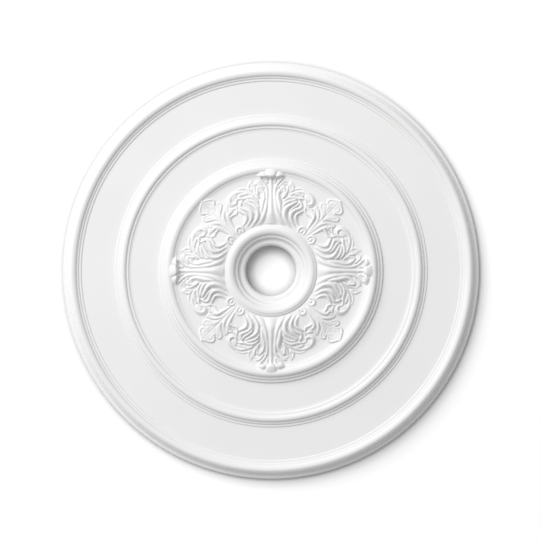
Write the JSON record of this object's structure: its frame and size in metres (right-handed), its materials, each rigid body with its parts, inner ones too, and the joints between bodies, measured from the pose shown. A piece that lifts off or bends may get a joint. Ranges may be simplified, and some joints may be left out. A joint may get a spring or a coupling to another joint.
{
  "type": "ceiling rose",
  "caption": "Round ceiling rose with turned mouldings round a centre hole and a ring of acanthus scrolls in low relief.",
  "frame": {"origin": "centre of the flat back face, on the axis of the centre hole, where the rose is fixed to the ceiling", "axes": "+Z out of the decorated face, away from the ceiling; +X and +Y along the tips of two of the four petals. The part is stored face up, so in use it is turned over and +Z points down into the room."},
  "size_m": [0.76, 0.76, 0.0487],
  "materials": {
    "primed_white": "matt white primer on rigid polyurethane"
  },
  "bodies": {
    "root": {"ceiling_rose": "primed_white"}
  },
  "joints": []
}
